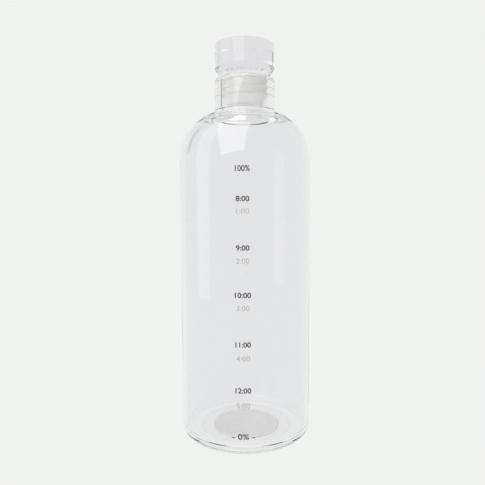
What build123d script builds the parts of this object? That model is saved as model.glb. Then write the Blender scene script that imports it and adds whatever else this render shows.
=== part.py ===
from build123d import *
import os

# A clear glass water bottle with a thick neck, closed by a clear solid knob on a ribbed silicone plug.
# A round silicone pad is bonded into the recess under the base.
# Sizes are in millimetres. The origin is the centre of the foot ring's plane, and +Z is up the bottle's axis.

os.makedirs("parts", exist_ok=True)

# Bottle body
body_diameter = 78.0
wall = 2.2
wall_height = 160.0  # foot to where the straight wall starts to turn in
base_thickness = 2.75
heel_radius = 4.6
floor_corner_radius = 4.0
foot_ring_width = 7.4
recess_draft = 0.15  # how much wider the recess is at the foot than at its ceiling
recess_edge_radius = 0.12

# Shoulder and neck
shoulder_rise = 33.9  # top of the straight wall to the foot of the neck
neck_length = 18.9
neck_wall = 4.1
bore_diameter = 28.0
rim_edge_radius = 1.3
neck_fillet_radius = 1.6

# The neck's foot inside the shoulder: a rounded ring, and a cone from it to the shoulder's inner curve
ring_width = 2.4  # how much wider than the bore the ring's lower edge is
ring_drop = 7.5  # foot of the neck down to the ring's lower edge
ring_round = 0.8
cone_reach = 10.5  # bore out to where the cone meets the shoulder's inner curve
cone_drop = 5.7  # foot of the neck down to that meeting
cone_round = 2.5

# How the two shoulder curves bulge, as shares of each curve's own rise and run
outer_wall_pull = 0.525
outer_neck_pull = 0.7625
outer_neck_sag = 0.2287
inner_wall_pull = 0.48
inner_neck_pull = 0.76
inner_neck_sag = 0.16

# Silicone plug
plug_depth = 15.7  # rim down to the underside of the plug
plug_stand = 0.25  # rim up to the top of the plug
fin_reach = 1.1
fin_clearance = 0.05
fin_count = 3
fin_pitch = 4.2
first_fin_drop = 1.6
fin_root_thickness = 1.3
fin_tip_thickness = 0.5
plug_taper_height = 4.7
plug_taper = 2.6
plug_nose_round = 1.5
plug_floor = 3.2
gate_diameter = 2.2
gate_depth = 0.5

# Clear knob, with a shank above the plug and a spigot that snaps into it
knob_height = 16.9
knob_stand = 3.3  # rim up to the underside of the knob
shank_inset = 0.25  # how far inside the plug's side the shank stands
shank_round = 0.4
knob_inset = 0.35  # how far inside the neck's outer surface the knob stands
knob_top_radius = 0.3
knob_bevel_width = 1.6
knob_bevel_height = 3.0
knob_bevel_round = 0.8
spigot_diameter = 15.0
bead_reach = 0.9
bead_height = 3.2
bead_round = 0.7
spigot_clearance = 0.05
spigot_end_gap = 0.4
seat_gap = 0.05  # between the shank's underside and the plug's top

# Anti-slip pad under the base, and its adhesive film
pad_thickness = 1.1
pad_margin = 6.7  # pad's edge to the recess's wall
pad_edge_radius = 0.3
film_thickness = 0.15
film_inset = 0.5

# Heights and radii that follow from the sizes above
body_radius = body_diameter / 2
bore_radius = bore_diameter / 2
neck_radius = bore_radius + neck_wall
neck_foot = wall_height + shoulder_rise
rim_height = neck_foot + neck_length
recess_depth = pad_thickness + film_thickness
recess_radius = body_radius - heel_radius - foot_ring_width
foot_radius = recess_radius + recess_draft
floor_height = recess_depth + base_thickness
inside_radius = body_radius - wall
ring_radius = bore_radius + ring_width
ring_height = neck_foot - ring_drop
cone_radius = bore_radius + cone_reach
cone_height = neck_foot - cone_drop
plug_bottom = rim_height - plug_depth
plug_radius = bore_radius - fin_reach
plug_top = rim_height + plug_stand
knob_bottom = rim_height + knob_stand
shank_end = plug_top + seat_gap
shank_radius = plug_radius - shank_inset
knob_radius = neck_radius - knob_inset
spigot_radius = spigot_diameter / 2
bead_radius = spigot_radius + bead_reach
spigot_end = plug_bottom + plug_floor + spigot_end_gap


def shoulder_points(start, end, wall_pull, neck_pull, neck_sag):
    """Control points of a curve that leaves the wall upright and reaches the neck nearly level."""
    run = start[0] - end[0]
    rise = end[1] - start[1]
    beside_wall = (start[0], start[1] + wall_pull * rise)
    beside_neck = (end[0] + neck_pull * run, end[1] - neck_sag * rise)
    return start, beside_wall, beside_neck, end


def ring_edge(part, radius, height):
    """The round edge nearest to a radius and a height."""
    rings = part.edges().filter_by(GeomType.CIRCLE)
    return rings.sort_by(lambda ring: abs(ring.radius - radius) + abs(ring.arc_center.Z - height))[0]


# Bottle: one revolved wall from the recess under the base, up the outside, over the rim and down the inside
with BuildPart() as bottle_glass:
    with BuildSketch(Plane.XZ):
        with BuildLine():
            Polyline(
                (0, recess_depth),
                (recess_radius, recess_depth),
                (foot_radius, 0),
                (body_radius, 0),
                (body_radius, wall_height),
            )
            Bezier(
                *shoulder_points(
                    (body_radius, wall_height),
                    (neck_radius, neck_foot),
                    outer_wall_pull,
                    outer_neck_pull,
                    outer_neck_sag,
                )
            )
            Polyline(
                (neck_radius, neck_foot),
                (neck_radius, rim_height),
                (bore_radius, rim_height),
                (bore_radius, ring_height),
                (ring_radius, ring_height),
                (cone_radius, cone_height),
            )
            Bezier(
                *shoulder_points(
                    (inside_radius, wall_height),
                    (cone_radius, cone_height),
                    inner_wall_pull,
                    inner_neck_pull,
                    inner_neck_sag,
                )
            )
            Polyline(
                (inside_radius, wall_height),
                (inside_radius, floor_height),
                (0, floor_height),
                (0, recess_depth),
            )
        make_face()
    revolve(axis=Axis.Z)
    fillet(ring_edge(bottle_glass, body_radius, 0), heel_radius)
    fillet(ring_edge(bottle_glass, inside_radius, floor_height), floor_corner_radius)
    fillet(ring_edge(bottle_glass, neck_radius, neck_foot), neck_fillet_radius)
    fillet(ring_edge(bottle_glass, bore_radius, ring_height), ring_round)
    fillet(ring_edge(bottle_glass, ring_radius, ring_height), ring_round)
    fillet(ring_edge(bottle_glass, cone_radius, cone_height), cone_round)
    rim_edges = [
        ring_edge(bottle_glass, neck_radius, rim_height),
        ring_edge(bottle_glass, bore_radius, rim_height),
    ]
    fillet(rim_edges, min(rim_edge_radius, 0.45 * neck_wall))
    fillet(ring_edge(bottle_glass, recess_radius, recess_depth), recess_edge_radius)
    fillet(ring_edge(bottle_glass, foot_radius, 0), recess_edge_radius)

# Plug: a sleeve with a closed, tapered lower end and thin fins that reach the bore
with BuildPart() as stopper_plug:
    with BuildSketch(Plane.XZ):
        with BuildLine():
            Polyline(
                (0, plug_bottom),
                (plug_radius - plug_taper, plug_bottom),
                (plug_radius, plug_bottom + plug_taper_height),
                (plug_radius, plug_top),
                (0, plug_top),
                close=True,
            )
        make_face()
        for index in range(fin_count):
            fin_height = rim_height - first_fin_drop - index * fin_pitch
            with BuildLine():
                Polyline(
                    (plug_radius - fin_reach, fin_height - fin_root_thickness / 2),
                    (plug_radius, fin_height - fin_root_thickness / 2),
                    (bore_radius - fin_clearance, fin_height - fin_tip_thickness / 2),
                    (bore_radius - fin_clearance, fin_height + fin_tip_thickness / 2),
                    (plug_radius, fin_height + fin_root_thickness / 2),
                    (plug_radius - fin_reach, fin_height + fin_root_thickness / 2),
                    close=True,
                )
            make_face()
    revolve(axis=Axis.Z)
    fillet(ring_edge(stopper_plug, plug_radius - plug_taper, plug_bottom), plug_nose_round)
    # The hole that the spigot snaps into, wider where its bead sits
    hole_floor = spigot_end - spigot_end_gap
    with BuildSketch(Plane.XY.offset(hole_floor)):
        Circle(spigot_radius + spigot_clearance)
    extrude(amount=shank_end - hole_floor, mode=Mode.SUBTRACT)
    with BuildSketch(Plane.XY.offset(hole_floor)):
        Circle(bead_radius + spigot_clearance)
    extrude(amount=spigot_end_gap + bead_height + spigot_clearance, mode=Mode.SUBTRACT)
    # Moulding gate mark under the closed end
    with BuildSketch(Plane.XY.offset(plug_bottom)):
        Circle(gate_diameter / 2)
    extrude(amount=gate_depth, mode=Mode.SUBTRACT)

# Knob: a solid clear cylinder with a bevelled underside, a shank below it, and a beaded spigot below that
with BuildPart() as stopper_knob:
    with BuildSketch(Plane.XZ):
        with BuildLine():
            Polyline(
                (0, spigot_end),
                (bead_radius, spigot_end),
                (bead_radius, spigot_end + bead_height),
                (spigot_radius, spigot_end + bead_height),
                (spigot_radius, shank_end),
                (shank_radius, shank_end),
                (shank_radius, knob_bottom),
                (knob_radius - knob_bevel_width, knob_bottom),
                (knob_radius, knob_bottom + knob_bevel_height),
                (knob_radius, knob_bottom + knob_height),
                (0, knob_bottom + knob_height),
                close=True,
            )
        make_face()
    revolve(axis=Axis.Z)
    fillet(ring_edge(stopper_knob, bead_radius, spigot_end), bead_round)
    fillet(ring_edge(stopper_knob, shank_radius, shank_end), shank_round)
    fillet(ring_edge(stopper_knob, knob_radius - knob_bevel_width, knob_bottom), knob_bevel_round)
    fillet(ring_edge(stopper_knob, knob_radius, knob_bottom + knob_bevel_height), knob_bevel_round)
    fillet(ring_edge(stopper_knob, knob_radius, knob_bottom + knob_height), knob_top_radius)

# Base pad: a disc whose face is level with the foot ring
pad_radius = recess_radius - pad_margin
with BuildPart() as base_pad:
    with BuildSketch(Plane.XY):
        Circle(pad_radius)
    extrude(amount=pad_thickness)
    fillet(ring_edge(base_pad, pad_radius, 0), pad_edge_radius)

# Adhesive film between the pad and the glass
with BuildPart() as pad_adhesive:
    with BuildSketch(Plane.XY.offset(pad_thickness)):
        Circle(pad_radius - film_inset)
    extrude(amount=film_thickness)

pieces = {
    "bottle_glass": bottle_glass,
    "stopper_plug": stopper_plug,
    "stopper_knob": stopper_knob,
    "base_pad": base_pad,
    "pad_adhesive": pad_adhesive,
}
for name, piece in pieces.items():
    piece.part.label = name
    export_step(piece.part, f"parts/{name}.step")
    print(name, round(piece.part.volume), "mm3")
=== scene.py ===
from math import acos, cos, pi, radians, sin, tan

import bmesh
import bpy
from mathutils import Matrix, Vector


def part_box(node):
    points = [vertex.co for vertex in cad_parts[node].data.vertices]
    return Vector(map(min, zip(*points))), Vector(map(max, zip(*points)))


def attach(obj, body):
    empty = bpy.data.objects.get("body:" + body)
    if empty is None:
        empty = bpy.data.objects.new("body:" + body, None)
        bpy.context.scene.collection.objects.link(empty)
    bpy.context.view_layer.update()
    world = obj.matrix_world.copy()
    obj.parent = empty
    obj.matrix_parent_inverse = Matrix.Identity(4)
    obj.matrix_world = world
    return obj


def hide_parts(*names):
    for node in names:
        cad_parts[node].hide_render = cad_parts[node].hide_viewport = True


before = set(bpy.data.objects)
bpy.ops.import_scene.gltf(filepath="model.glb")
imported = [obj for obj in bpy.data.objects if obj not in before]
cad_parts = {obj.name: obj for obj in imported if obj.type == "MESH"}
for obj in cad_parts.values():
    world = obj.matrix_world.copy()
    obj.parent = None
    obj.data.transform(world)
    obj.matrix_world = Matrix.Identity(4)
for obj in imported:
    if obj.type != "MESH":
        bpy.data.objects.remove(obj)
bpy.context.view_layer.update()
mm = 0.001
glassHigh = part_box("bottle_glass")[1]
knobLow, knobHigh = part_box("stopper_knob")
plugLow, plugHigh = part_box("stopper_plug")
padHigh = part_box("base_pad")[1]
print("frame loaded:", sorted(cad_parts))

cameraView = {
    "distance": 0.2962,  # from the bottle's axis
    "height": 0.1342,
    "pitchDown": 0.0635,
    "roll": -0.0042,
    "lens": 35.926,
    "shiftX": -0.00575,
}


def addCamera(view):
    data = bpy.data.cameras.new("camera")
    data.lens = view["lens"]
    data.sensor_width = 36.0
    data.shift_x = view["shiftX"]
    data.clip_start = 0.01
    data.clip_end = 50.0
    camera = bpy.data.objects.new("camera", data)
    bpy.context.scene.collection.objects.link(camera)
    place = Matrix.Translation((0, -view["distance"], view["height"]))
    tilt = Matrix.Rotation(pi / 2 - view["pitchDown"], 4, "X")
    camera.matrix_world = place @ tilt @ Matrix.Rotation(view["roll"], 4, "Z")
    bpy.context.scene.camera = camera


addCamera(cameraView)
print("camera placed")


def bezierPoints(start, end, wallPull, neckPull, neckSag, steps):
    # from the upright wall to the neck, as the CAD shoulder is drawn;
    # it stops a step early, which leaves room to round the corner at the neck
    run = start[0] - end[0]
    rise = end[1] - start[1]
    handles = (
        Vector(start),
        Vector((start[0], start[1] + wallPull * rise)),
        Vector((end[0] + neckPull * run, end[1] - neckSag * rise)),
        Vector(end),
    )
    points = []
    for step in range(1, steps - 1):
        t = step / steps
        s = 1 - t
        p = s**3 * handles[0] + 3 * s * s * t * handles[1] + 3 * s * t * t * handles[2] + t**3 * handles[3]
        points.append((p.x, p.y, 0))
    return points


def roundedOutline(corners, steps=10, support=0.25 * mm):
    # corners are (radius from the axis, height, corner radius); each rounded corner becomes an arc
    outline = []
    last = len(corners) - 1
    for index, (r, z, bend) in enumerate(corners):
        here = Vector((r, z))
        if bend <= 0 or index in (0, last):
            outline.append(here)
            continue
        before = Vector(corners[index - 1][:2]) - here
        after = Vector(corners[index + 1][:2]) - here
        toBefore, toAfter = before.normalized(), after.normalized()
        half = acos(max(-1.0, min(1.0, toBefore.dot(toAfter)))) / 2
        reach = min(bend / tan(half), 0.49 * before.length, 0.49 * after.length)
        radius = reach * tan(half)
        centre = here + (toBefore + toAfter).normalized() * (radius / sin(half))
        first = here + toBefore * reach - centre
        final = here + toAfter * reach - centre
        sweep = pi - 2 * half
        turn = 1 if first.x * final.y - first.y * final.x > 0 else -1
        if before.length * 0.5 > reach + support:
            outline.append(here + toBefore * (reach + support))
        for step in range(steps + 1):
            angle = turn * sweep * step / steps
            spoke = Vector(
                (first.x * cos(angle) - first.y * sin(angle), first.x * sin(angle) + first.y * cos(angle))
            )
            outline.append(centre + spoke)
        if after.length * 0.5 > reach + support:
            outline.append(here + toAfter * (reach + support))
    return outline


def buildLatheTree():
    # turns the object's own outline, a chain of points in the XZ plane, about Z
    tree = bpy.data.node_groups.new("turnedShape", "GeometryNodeTree")
    face = tree.interface
    face.new_socket("Outline", in_out="INPUT", socket_type="NodeSocketGeometry")
    face.new_socket("Segments", in_out="INPUT", socket_type="NodeSocketInt")
    face.new_socket("Finish", in_out="INPUT", socket_type="NodeSocketMaterial")
    face.new_socket("Shape", in_out="OUTPUT", socket_type="NodeSocketGeometry")
    nodes, links = tree.nodes, tree.links

    def mathNode(operation, first, second):
        node = nodes.new("ShaderNodeMath")
        node.operation = operation
        for socket, value in zip(node.inputs, (first, second)):
            if isinstance(value, (int, float)):
                socket.default_value = value
            elif value is not None:
                links.new(value, socket)
        return node.outputs[0]

    source = nodes.new("NodeGroupInput").outputs
    result = nodes.new("NodeGroupOutput").inputs
    count = nodes.new("GeometryNodeAttributeDomainSize")
    links.new(source["Outline"], count.inputs["Geometry"])
    points = count.outputs["Point Count"]
    grid = nodes.new("GeometryNodeMeshGrid")
    links.new(mathNode("ADD", source["Segments"], 1), grid.inputs["Vertices X"])
    links.new(points, grid.inputs["Vertices Y"])
    index = nodes.new("GeometryNodeInputIndex").outputs[0]
    column = mathNode("FLOOR", mathNode("DIVIDE", mathNode("ADD", index, 0.5), points), None)
    row = mathNode("SUBTRACT", index, mathNode("MULTIPLY", column, points))
    sample = nodes.new("GeometryNodeSampleIndex")
    sample.data_type = "FLOAT_VECTOR"
    links.new(source["Outline"], sample.inputs["Geometry"])
    links.new(nodes.new("GeometryNodeInputPosition").outputs[0], sample.inputs["Value"])
    links.new(row, sample.inputs["Index"])
    turn = nodes.new("ShaderNodeVectorRotate")
    turn.rotation_type = "Z_AXIS"
    links.new(sample.outputs[0], turn.inputs["Vector"])
    portion = mathNode("DIVIDE", column, source["Segments"])
    links.new(mathNode("MULTIPLY", portion, 2 * pi), turn.inputs["Angle"])
    place = nodes.new("GeometryNodeSetPosition")
    links.new(grid.outputs["Mesh"], place.inputs["Geometry"])
    links.new(turn.outputs["Vector"], place.inputs["Position"])
    merge = nodes.new("GeometryNodeMergeByDistance")
    merge.inputs["Distance"].default_value = 1e-6
    links.new(place.outputs[0], merge.inputs["Geometry"])
    smooth = nodes.new("GeometryNodeSetShadeSmooth")
    links.new(merge.outputs[0], smooth.inputs["Geometry"])
    real = nodes.new("GeometryNodeRealizeInstances")
    links.new(smooth.outputs[0], real.inputs[0])
    finish = nodes.new("GeometryNodeSetMaterial")
    links.new(real.outputs[0], finish.inputs["Geometry"])
    links.new(source["Finish"], finish.inputs["Material"])
    links.new(finish.outputs[0], result["Shape"])
    return tree


def socketId(tree, name):
    return next(item.identifier for item in tree.interface.items_tree if item.name == name)


def plainPiece(name, mesh):
    mesh.name = name
    piece = bpy.data.objects.new(name, mesh)
    bpy.context.scene.collection.objects.link(piece)
    return piece


def evaluatedMesh(source):
    graph = bpy.context.evaluated_depsgraph_get()
    return bpy.data.meshes.new_from_object(source.evaluated_get(graph))


def turnOutline(name, outline, segments, finish):
    chain = bpy.data.meshes.new(name + "Outline")
    chain.from_pydata([(p[0], 0, p[1]) for p in outline], [(i, i + 1) for i in range(len(outline) - 1)], [])
    holder = plainPiece(name + "Outline", chain)
    modifier = holder.modifiers.new("turned", "NODES")
    modifier.node_group = latheTree
    modifier[socketId(latheTree, "Segments")] = segments
    modifier[socketId(latheTree, "Finish")] = finish
    mesh = evaluatedMesh(holder)
    holder.modifiers.clear()
    bpy.data.objects.remove(holder)
    shape = bmesh.new()
    shape.from_mesh(mesh)
    bmesh.ops.remove_doubles(shape, verts=shape.verts, dist=1e-6)
    bmesh.ops.dissolve_degenerate(shape, dist=1e-7, edges=shape.edges)
    bmesh.ops.recalc_face_normals(shape, faces=shape.faces)
    loose = [edge for edge in shape.edges if len(edge.link_faces) != 2]
    shape.to_mesh(mesh)
    shape.free()
    print(name, "faces", len(mesh.polygons), "open edges", len(loose))
    return plainPiece(name, mesh)


latheTree = buildLatheTree()


def newGroup(name, inputs, outputs):
    group = bpy.data.node_groups.new(name, "ShaderNodeTree")
    for direction, sockets in (("INPUT", inputs), ("OUTPUT", outputs)):
        for label, kind in sockets:
            group.interface.new_socket(label, in_out=direction, socket_type="NodeSocket" + kind)
    source = group.nodes.new("NodeGroupInput").outputs
    result = group.nodes.new("NodeGroupOutput").inputs
    return group, source, result


def buildReliefGroup():
    # fine relief: waves in drawn glass, grain in silicone, the tooth of dried ink
    inputs = [("Place", "Vector"), ("Stretch", "Vector"), ("Scale", "Float"), ("Detail", "Float")]
    inputs += [("Strength", "Float"), ("Depth", "Float")]
    group, source, result = newGroup("fineRelief", inputs, [("Normal", "Vector")])
    stretch = group.nodes.new("ShaderNodeVectorMath")
    stretch.operation = "MULTIPLY"
    group.links.new(source["Place"], stretch.inputs[0])
    group.links.new(source["Stretch"], stretch.inputs[1])
    noise = group.nodes.new("ShaderNodeTexNoise")
    group.links.new(stretch.outputs[0], noise.inputs["Vector"])
    group.links.new(source["Scale"], noise.inputs["Scale"])
    group.links.new(source["Detail"], noise.inputs["Detail"])
    bump = group.nodes.new("ShaderNodeBump")
    group.links.new(noise.outputs["Fac"], bump.inputs["Height"])
    group.links.new(source["Strength"], bump.inputs["Strength"])
    group.links.new(source["Depth"], bump.inputs["Distance"])
    group.links.new(bump.outputs[0], result["Normal"])
    return group


def buildCloudGroup():
    # two colours that drift into each other, and the mask between them
    inputs = [("Place", "Vector"), ("Scale", "Float"), ("Dark", "Color"), ("Light", "Color")]
    group, source, result = newGroup("cloudedColour", inputs, [("Colour", "Color"), ("Mask", "Float")])
    noise = group.nodes.new("ShaderNodeTexNoise")
    noise.inputs["Detail"].default_value = 3.0
    group.links.new(source["Place"], noise.inputs["Vector"])
    group.links.new(source["Scale"], noise.inputs["Scale"])
    spread = group.nodes.new("ShaderNodeMapRange")
    spread.inputs["From Min"].default_value = 0.3
    spread.inputs["From Max"].default_value = 0.7
    group.links.new(noise.outputs["Fac"], spread.inputs["Value"])
    mix = group.nodes.new("ShaderNodeMix")
    mix.data_type = "RGBA"
    group.links.new(spread.outputs["Result"], mix.inputs["Factor"])
    group.links.new(source["Dark"], mix.inputs[6])
    group.links.new(source["Light"], mix.inputs[7])
    group.links.new(mix.outputs[2], result["Colour"])
    group.links.new(spread.outputs["Result"], result["Mask"])
    return group


reliefGroup = buildReliefGroup()
cloudGroup = buildCloudGroup()


def newFinish(name):
    finish = bpy.data.materials.new(name)
    finish.use_nodes = True
    nodes = finish.node_tree.nodes
    return finish, nodes, finish.node_tree.links, nodes["Principled BSDF"]


def addGroup(nodes, links, group, values):
    # places a shared effect in a material, with this material's own values
    node = nodes.new("ShaderNodeGroup")
    node.node_tree = group
    coords = nodes.new("ShaderNodeTexCoord")
    links.new(coords.outputs["Object"], node.inputs["Place"])
    for label, value in values.items():
        node.inputs[label].default_value = value
    return node


def addRelief(nodes, links, shader, scale, depth, strength, detail=2.0, stretch=(1, 1, 1)):
    values = {"Scale": scale, "Depth": depth, "Strength": strength, "Detail": detail, "Stretch": stretch}
    relief = addGroup(nodes, links, reliefGroup, values)
    links.new(relief.outputs["Normal"], shader.inputs["Normal"])


def addClouds(nodes, links, shader, scale, dark, light):
    values = {"Scale": scale, "Dark": (*dark, 1), "Light": (*light, 1)}
    clouds = addGroup(nodes, links, cloudGroup, values)
    links.new(clouds.outputs["Colour"], shader.inputs["Base Color"])
    return clouds


def clearGlass(name, values):
    finish, nodes, links, shader = newFinish(name)
    # the base colour is painted shade: each pass through the glass darkens and cools it, in place of the
    # dark room reflected in the glass
    shader.inputs["Base Color"].default_value = (*values["paintedShadeTint"], 1)
    shader.inputs["Transmission Weight"].default_value = 1.0
    shader.inputs["Roughness"].default_value = values["roughness"]
    shader.inputs["IOR"].default_value = values["ior"]
    absorb = nodes.new("ShaderNodeVolumeAbsorption")
    absorb.inputs["Color"].default_value = (*values["absorbColour"], 1)
    absorb.inputs["Density"].default_value = values["absorbDensity"]
    links.new(absorb.outputs[0], nodes["Material Output"].inputs["Volume"])
    wave = (values["waveScale"], values["waveDepth"], values["waveStrength"])
    addRelief(nodes, links, shader, *wave, detail=1.0, stretch=values["waveStretch"])
    return finish


def silicone(name, values):
    finish, nodes, links, shader = newFinish(name)
    clouds = addClouds(nodes, links, shader, values["cloudScale"], values["dark"], values["light"])
    shine = nodes.new("ShaderNodeMapRange")  # cloudy patches are a little duller
    shine.inputs["To Min"].default_value = values["roughness"] - values["roughnessSpread"]
    shine.inputs["To Max"].default_value = values["roughness"] + values["roughnessSpread"]
    links.new(clouds.outputs["Mask"], shine.inputs["Value"])
    links.new(shine.outputs["Result"], shader.inputs["Roughness"])
    grain = (values["grainScale"], values["grainDepth"], values["grainStrength"])
    addRelief(nodes, links, shader, *grain, detail=3.0)
    return finish


def ink(name, values):
    finish, nodes, links, shader = newFinish(name)
    addClouds(nodes, links, shader, values["speckScale"], values["dark"], values["light"])
    shader.inputs["Roughness"].default_value = values["roughness"]
    addRelief(nodes, links, shader, values["toothScale"], values["toothDepth"], values["toothStrength"])
    return finish


bottle = {
    "wall": 2.2 * mm,
    "wallHeight": 160.0 * mm,
    "floorHeight": 4.0 * mm,
    "heelRadius": 4.6 * mm,
    "floorCorner": 4.0 * mm,
    "recessRadius": 27.0 * mm,
    "footRadius": 27.15 * mm,  # where the recess's slope reaches the foot ring
    "recessDepth": 1.25 * mm,
    "neckRadius": 18.1 * mm,
    "boreRadius": 14.0 * mm,
    "neckFoot": 193.9 * mm,
    "neckFillet": 1.6 * mm,
    "rimEdge": 1.3 * mm,
    "ringRadius": 16.4 * mm,  # the neck's rounded foot inside the shoulder
    "ringHeight": 186.4 * mm,
    "ringRound": 0.8 * mm,
    "coneRadius": 24.5 * mm,  # where the ring's cone meets the shoulder's inner curve
    "coneHeight": 188.2 * mm,
    "coneRound": 2.5 * mm,
    "recessRound": 0.12 * mm,
    "outerShoulder": (0.525, 0.7625, 0.2287),  # pull up the wall, pull out of the neck, sag at the neck
    "innerShoulder": (0.48, 0.76, 0.16),
    "shoulderSteps": 44,
    "segments": 256,
}
bottleFinish = {
    # painted shade: a darker, cooler tint standing in for the dark camera side of the room seen in the
    # glass
    "paintedShadeTint": (0.937, 0.930, 0.953),
    "roughness": 0.0,
    "ior": 1.5,
    "absorbColour": (0.55, 0.68, 0.5),
    "absorbDensity": 1.6,
    "waveScale": 14.0,
    "waveStretch": (1.0, 1.0, 0.6),  # drawn glass waves run up the bottle
    "waveStrength": 0.15,
    "waveDepth": 0.0006,
}


def bottleOutline(size):
    outside = glassHigh.x
    rim = glassHigh.z
    inside = outside - size["wall"]
    corners = [
        (0, size["recessDepth"], 0),
        (size["recessRadius"], size["recessDepth"], size["recessRound"]),
        (size["footRadius"], 0, size["recessRound"]),
        (outside, 0, size["heelRadius"]),
        (outside, size["wallHeight"], 0),
    ]
    corners += bezierPoints(
        (outside, size["wallHeight"]),
        (size["neckRadius"], size["neckFoot"]),
        *size["outerShoulder"],
        size["shoulderSteps"],
    )
    corners += [
        (size["neckRadius"], size["neckFoot"], size["neckFillet"]),
        (size["neckRadius"], rim, size["rimEdge"]),
        (size["boreRadius"], rim, size["rimEdge"]),
        (size["boreRadius"], size["ringHeight"], size["ringRound"]),
        (size["ringRadius"], size["ringHeight"], size["ringRound"]),
        (size["coneRadius"], size["coneHeight"], size["coneRound"]),
    ]
    inner = bezierPoints(
        (inside, size["wallHeight"]),
        (size["coneRadius"], size["coneHeight"]),
        *size["innerShoulder"],
        size["shoulderSteps"],
    )
    corners += inner[::-1]
    corners += [
        (inside, size["wallHeight"], 0),
        (inside, size["floorHeight"], size["floorCorner"]),
        (0, size["floorHeight"], 0),
    ]
    return roundedOutline(corners)


glassFinish = clearGlass("bottleGlass", bottleFinish)
bottlePiece = turnOutline("bottleGlass", bottleOutline(bottle), bottle["segments"], glassFinish)
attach(bottlePiece, "bottle")
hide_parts("bottle_glass")
print("bottle made")

knob = {
    "radius": knobHigh.x,
    "bottom": 216.1 * mm,
    "top": knobHigh.z,
    "topEdge": 0.3 * mm,
    "bevelWidth": 1.6 * mm,
    "bevelHeight": 3.0 * mm,
    "bevelRound": 0.8 * mm,
    "shankRadius": 12.65 * mm,  # between the knob and the plug's top
    "shankEnd": plugHigh.z + 0.05 * mm,
    "shankRound": 0.4 * mm,
    "underRound": 0.8 * mm,  # where the shank meets the knob
    "spigotRadius": 7.5 * mm,
    "spigotEnd": knobLow.z,
    "beadRadius": 8.4 * mm,
    "beadHeight": 3.2 * mm,
    "beadRound": 0.7 * mm,
    "innerRound": 0.3 * mm,
    "segments": 192,
}
# painted shade: the knob's glass is tinted darker still, standing in for the dark room seen in the solid
# glass
knobFinish = dict(bottleFinish, paintedShadeTint=(0.863, 0.842, 0.899))


def knobOutline(size):
    beadTop = size["spigotEnd"] + size["beadHeight"]
    return roundedOutline(
        [
            (0, size["spigotEnd"], 0),
            (size["beadRadius"], size["spigotEnd"], size["beadRound"]),
            (size["beadRadius"], beadTop, size["innerRound"]),
            (size["spigotRadius"], beadTop, size["innerRound"]),
            (size["spigotRadius"], size["shankEnd"], size["innerRound"]),
            (size["shankRadius"], size["shankEnd"], size["shankRound"]),
            (size["shankRadius"], size["bottom"], size["underRound"]),
            (size["radius"] - size["bevelWidth"], size["bottom"], size["bevelRound"]),
            (size["radius"], size["bottom"] + size["bevelHeight"], size["bevelRound"]),
            (size["radius"], size["top"], size["topEdge"]),
            (0, size["top"], 0),
        ]
    )


knobGlass = clearGlass("knobGlass", knobFinish)
knobPiece = turnOutline("stopperKnob", knobOutline(knob), knob["segments"], knobGlass)
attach(knobPiece, "knob")
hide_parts("stopper_knob")
print("knob made")

plug = {
    "bottom": plugLow.z,
    "top": plugHigh.z,
    "radius": 12.85 * mm,
    "finRadius": 14.03 * mm,  # pressed just into the bore's wall
    "finCount": 3,
    "finTop": 211.2 * mm,
    "finPitch": 4.2 * mm,
    "finRoot": 1.3 * mm,
    "finRootRound": 0.3 * mm,
    "finTip": 0.5 * mm,
    "finTipRound": 0.25 * mm,
    "taperHeight": 4.7 * mm,
    "taper": 2.6 * mm,
    "noseRound": 1.5 * mm,
    "topRound": 0.4 * mm,
    "holeRadius": knob["spigotRadius"] + 0.05 * mm,
    "holeFloor": knobLow.z - 0.4 * mm,
    "mouthRound": 0.2 * mm,
    "beadHole": knob["beadRadius"] + 0.05 * mm,
    "beadTop": knobLow.z + knob["beadHeight"] + 0.05 * mm,
    "beadEdge": 0.1 * mm,
    "floorRound": 0.3 * mm,
    "gateRadius": 1.1 * mm,
    "gateDepth": 0.5 * mm,
    "gateCorner": 0.1 * mm,
    "gateLip": 0.15 * mm,
    "segments": 160,
}
plugFinish = {
    "dark": (0.84, 0.838, 0.795),
    "light": (0.88, 0.878, 0.835),
    "cloudScale": 160.0,
    "roughness": 0.45,
    "roughnessSpread": 0.06,
    "grainScale": 3000.0,
    "grainDepth": 0.00004,
    "grainStrength": 0.3,
}


def plugOutline(size):
    corners = [
        (0, size["bottom"] + size["gateDepth"], 0),
        (size["gateRadius"], size["bottom"] + size["gateDepth"], size["gateCorner"]),
        (size["gateRadius"], size["bottom"], size["gateLip"]),
        (size["radius"] - size["taper"], size["bottom"], size["noseRound"]),
        (size["radius"], size["bottom"] + size["taperHeight"], size["noseRound"]),
    ]
    for index in reversed(range(size["finCount"])):
        height = size["finTop"] - index * size["finPitch"]
        corners += [
            (size["radius"], height - size["finRoot"] / 2, size["finRootRound"]),
            (size["finRadius"], height - size["finTip"] / 2, size["finTipRound"]),
            (size["finRadius"], height + size["finTip"] / 2, size["finTipRound"]),
            (size["radius"], height + size["finRoot"] / 2, size["finRootRound"]),
        ]
    corners += [
        (size["radius"], size["top"], size["topRound"]),
        (size["holeRadius"], size["top"], size["mouthRound"]),
        (size["holeRadius"], size["beadTop"], size["beadEdge"]),
        (size["beadHole"], size["beadTop"], size["beadEdge"]),
        (size["beadHole"], size["holeFloor"], size["floorRound"]),
        (0, size["holeFloor"], 0),
    ]
    return roundedOutline(corners, steps=6, support=0.1 * mm)


plugSilicone = silicone("plugSilicone", plugFinish)
plugPiece = turnOutline("stopperPlug", plugOutline(plug), plug["segments"], plugSilicone)
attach(plugPiece, "plug")
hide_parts("stopper_plug")
print("plug made")

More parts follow.
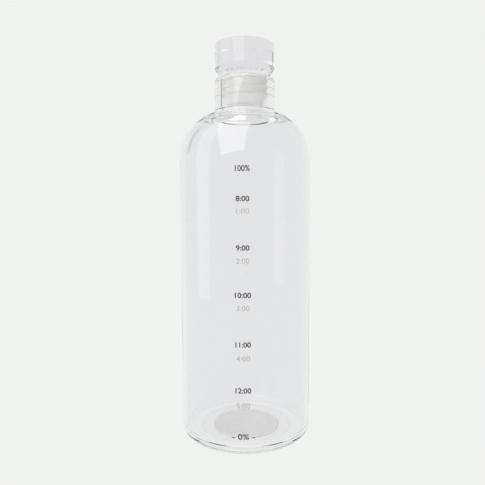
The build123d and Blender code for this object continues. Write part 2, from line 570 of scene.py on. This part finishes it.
pad = {
    "radius": padHigh.x,
    "thickness": padHigh.z,
    "edge": 0.3 * mm,
    "filmInset": 0.5 * mm,
    "filmTop": 1.24 * mm,  # a hair under the recess's ceiling
    "filmEdge": 0.05 * mm,
    "segments": 160,
}
padFinish = dict(
    plugFinish,
    dark=(0.84, 0.85, 0.80),
    light=(0.88, 0.89, 0.84),
    cloudScale=90.0,
    roughness=0.6,
)
filmFinish = dict(padFinish, dark=(0.88, 0.89, 0.84), light=(0.92, 0.93, 0.88))


def discOutline(radius, low, high, edge):
    return roundedOutline([(0, low, 0), (radius, low, edge), (radius, high, edge), (0, high, 0)], steps=6)


padSilicone = silicone("padSilicone", padFinish)
padOutline = discOutline(pad["radius"], 0, pad["thickness"], pad["edge"])
padPiece = turnOutline("basePad", padOutline, pad["segments"], padSilicone)
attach(padPiece, "bottle")
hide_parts("base_pad")
filmSheet = silicone("adhesiveFilm", filmFinish)
filmPiece = turnOutline(
    "padAdhesive",
    discOutline(pad["radius"] - pad["filmInset"], pad["thickness"], pad["filmTop"], pad["filmEdge"]),
    pad["segments"],
    filmSheet,
)
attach(filmPiece, "bottle")
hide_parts("pad_adhesive")
print("pad made")

scale = {
    "left": -1.4 * mm,  # the scale's centre line, left of the front
    "lift": 0.04 * mm,  # ink's mid-height above the glass
    "inkHalf": 0.02 * mm,
    # each mark is its text, its height and its width
    "morning": (
        ("8:00", 141.2, 7.3),
        ("9:00", 114.9, 7.3),
        ("10:00", 89.4, 8.8),
        ("11:00", 62.4, 8.4),
        ("12:00", 37.05, 8.6),
    ),
    "afternoon": (
        ("1:00", 134.6, 7.1),
        ("2:00", 107.95, 7.2),
        ("3:00", 82.35, 7.2),
        ("4:00", 54.75, 7.4),
        ("5:00", 28.7, 7.2),
    ),
    "ends": (("100%", 157.2, 8.0), ("- 0% -", 11.35, 12.4)),
    # letter size and stroke weight
    "morningType": (4.0 * mm, 0.09 * mm),
    "afternoonType": (4.0 * mm, 0.02 * mm),
    "endType": (4.4 * mm, 0.07 * mm),
}


def markMesh(text, height, width, size, weight):
    # flat text, made a closed thin mesh, then wrapped round the glass
    curve = bpy.data.curves.new(text, "FONT")
    curve.body = text
    curve.size = size
    curve.align_x = "CENTER"
    curve.align_y = "CENTER"
    curve.resolution_u = 6
    curve.offset = weight
    curve.extrude = scale["inkHalf"]
    holder = bpy.data.objects.new(text, curve)
    bpy.context.scene.collection.objects.link(holder)
    mesh = evaluatedMesh(holder)
    bpy.data.objects.remove(holder)
    xs = [v.co.x for v in mesh.vertices]
    ys = [v.co.y for v in mesh.vertices]
    stretch = width / (max(xs) - min(xs))
    midX, midY = (max(xs) + min(xs)) / 2, (max(ys) + min(ys)) / 2
    glassRadius = glassHigh.x
    for v in mesh.vertices:
        across = (v.co.x - midX) * stretch + scale["left"]
        radius = glassRadius + scale["lift"] + v.co.z
        angle = across / glassRadius
        v.co = (radius * sin(angle), -radius * cos(angle), height + v.co.y - midY)
    return mesh


def joinMarks(name, meshes, finish):
    joined = bmesh.new()
    for mesh in meshes:
        joined.from_mesh(mesh)
        bpy.data.meshes.remove(mesh)
    bmesh.ops.remove_doubles(joined, verts=joined.verts, dist=1e-7)
    bmesh.ops.recalc_face_normals(joined, faces=joined.faces)
    mesh = bpy.data.meshes.new(name)
    joined.to_mesh(mesh)
    joined.free()
    mesh.materials.append(finish)
    return plainPiece(name, mesh)


darkInkFinish = {
    "dark": (0.03, 0.02, 0.02),
    "light": (0.055, 0.04, 0.04),
    "roughness": 0.45,
    "speckScale": 2500.0,
    "toothScale": 5000.0,
    "toothDepth": 0.00002,
    "toothStrength": 0.3,
}
greyInkFinish = dict(
    darkInkFinish,
    dark=(0.40, 0.40, 0.385),
    light=(0.47, 0.47, 0.45),
    roughness=0.5,
)
darkInk = ink("darkInk", darkInkFinish)
greyInk = ink("greyInk", greyInkFinish)
morningMarks = [markMesh(t, h * mm, w * mm, *scale["morningType"]) for t, h, w in scale["morning"]]
endMarks = [markMesh(t, h * mm, w * mm, *scale["endType"]) for t, h, w in scale["ends"]]
darkPiece = joinMarks("morningScale", morningMarks + endMarks, darkInk)
greyMarks = [markMesh(t, h * mm, w * mm, *scale["afternoonType"]) for t, h, w in scale["afternoon"]]
greyPiece = joinMarks("afternoonScale", greyMarks, greyInk)
for piece, slot in ((darkPiece, "dark_ink"), (greyPiece, "grey_ink")):
    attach(piece, "bottle")
print("hour scale made")

stage = {
    "backdrop": (0.871, 0.888, 0.863),
    "zenith": 0.85,
    "floorHalf": 6.0,
    "floorGrey": 0.02,
    "floorGlow": 0.985,
    "shadeGrey": 0.25,
    "target": (0, 0, 0.17),
}
windowBox = {"place": (-0.33, -0.62, 0.92), "size": (0.86, 1.30), "roll": 12, "power": 5.2}
sideBox = {"place": (-0.40, -0.10, 0.30), "size": (0.22, 2.4), "roll": 0, "power": 0.9}
plugFills = {
    "fillLeft": {"place": (-0.9, -1.0, 0.25), "size": (0.9, 0.9), "roll": 0, "power": 1.3},
    "fillRight": {"place": (0.9, -1.0, 0.25), "size": (0.9, 0.9), "roll": 0, "power": 0.85},
    "fillLow": {"place": (0, -0.4, -0.5), "size": (0.6, 0.6), "roll": 0, "power": 5.0},
    "fillHigh": {"place": (0, -0.5, 0.95), "size": (0.6, 0.6), "roll": 0, "power": 0.5},
    "fillBack": {"place": (0, 1.2, 1.0), "size": (0.9, 0.9), "roll": 0, "power": 3.5},
}
padFills = {"padFill": {"place": (-0.25, -0.4, 0.9), "size": (0.6, 0.6), "roll": 0, "power": 6.2}}
shadeCard = [(-0.45, 0.182, 0.27), (-0.45, 0.28, 0.27), (-0.45, 0.28, 0.6), (-0.45, 0.182, 0.6)]


def stageFinish(name, grey, glow, strength):
    finish, _, _, shader = newFinish(name)
    shader.inputs["Base Color"].default_value = (grey, grey, grey, 1)
    shader.inputs["Roughness"].default_value = 0.9
    shader.inputs["Specular IOR Level"].default_value = 0.0
    shader.inputs["Emission Color"].default_value = (*glow, 1)
    shader.inputs["Emission Strength"].default_value = strength
    return finish


def addStagePiece(name, corners, finish):
    mesh = bpy.data.meshes.new(name)
    mesh.from_pydata(corners, [], [(0, 1, 2, 3)])
    mesh.materials.append(finish)
    piece = plainPiece(name, mesh)
    return piece


def addFloor():
    half = stage["floorHalf"]
    corners = [(-half, -half, 0), (half, -half, 0), (half, half, 0), (-half, half, 0)]
    finish = stageFinish("floorPale", stage["floorGrey"], stage["backdrop"], stage["floorGlow"])
    addStagePiece("floor", corners, finish)


def addShade():
    # a card beside the bottle draws the dark line of the bore; itself it stays out of sight
    finish = stageFinish("shadeGrey", stage["shadeGrey"], (0, 0, 0), 0.0)
    card = addStagePiece("shade", shadeCard, finish)
    card.visible_camera = False


def addWorld():
    world = bpy.data.worlds.new("studio")
    bpy.context.scene.world = world
    world.use_nodes = True
    nodes, links = world.node_tree.nodes, world.node_tree.links
    coords = nodes.new("ShaderNodeTexCoord")
    parts = nodes.new("ShaderNodeSeparateXYZ")
    links.new(coords.outputs["Generated"], parts.inputs[0])
    ramp = nodes.new("ShaderNodeValToRGB")
    ramp.color_ramp.elements[0].position = 0.5
    ramp.color_ramp.elements[0].color = (*stage["backdrop"], 1)
    ramp.color_ramp.elements[1].position = 0.9
    ramp.color_ramp.elements[1].color = (stage["zenith"],) * 3 + (1,)
    links.new(parts.outputs["Z"], ramp.inputs["Fac"])
    links.new(ramp.outputs["Color"], nodes["Background"].inputs["Color"])
    nodes["Background"].inputs["Strength"].default_value = 1.0


def addSoftbox(name, box):
    data = bpy.data.lights.new(name, "AREA")
    data.shape = "RECTANGLE"
    data.size, data.size_y = box["size"]
    data.energy = box["power"]
    light = bpy.data.objects.new(name, data)
    bpy.context.scene.collection.objects.link(light)
    aim = (Vector(stage["target"]) - Vector(box["place"])).to_track_quat("-Z", "Y")
    roll = Matrix.Rotation(radians(box["roll"]), 4, "Z")
    light.matrix_world = Matrix.Translation(box["place"]) @ aim.to_matrix().to_4x4() @ roll
    light.visible_camera = False
    return light


def addFills(boxes, lit, stops):
    # lights that fall only on the silicone, straight through the glass around it
    group = bpy.data.collections.new("litBy" + next(iter(boxes)))
    for piece in lit:
        group.objects.link(piece)
    for name, box in boxes.items():
        light = addSoftbox(name, box)
        light.light_linking.receiver_collection = group
        light.light_linking.blocker_collection = stops


addFloor()
addShade()
addWorld()
addSoftbox("window", windowBox)
addSoftbox("sideGlow", sideBox)
softParts = bpy.data.collections.new("softParts")
for softPiece in (plugPiece, padPiece, filmPiece):
    softParts.objects.link(softPiece)
addFills(plugFills, [plugPiece], softParts)
addFills(padFills, [padPiece, filmPiece], softParts)
bpy.context.scene.view_settings.view_transform = "Standard"
paths = bpy.context.scene.cycles  # light crosses many glass faces before it leaves the neck
paths.max_bounces = 32
paths.transmission_bounces = 32
paths.glossy_bounces = 16
paths.diffuse_bounces = 8
print("stage set")
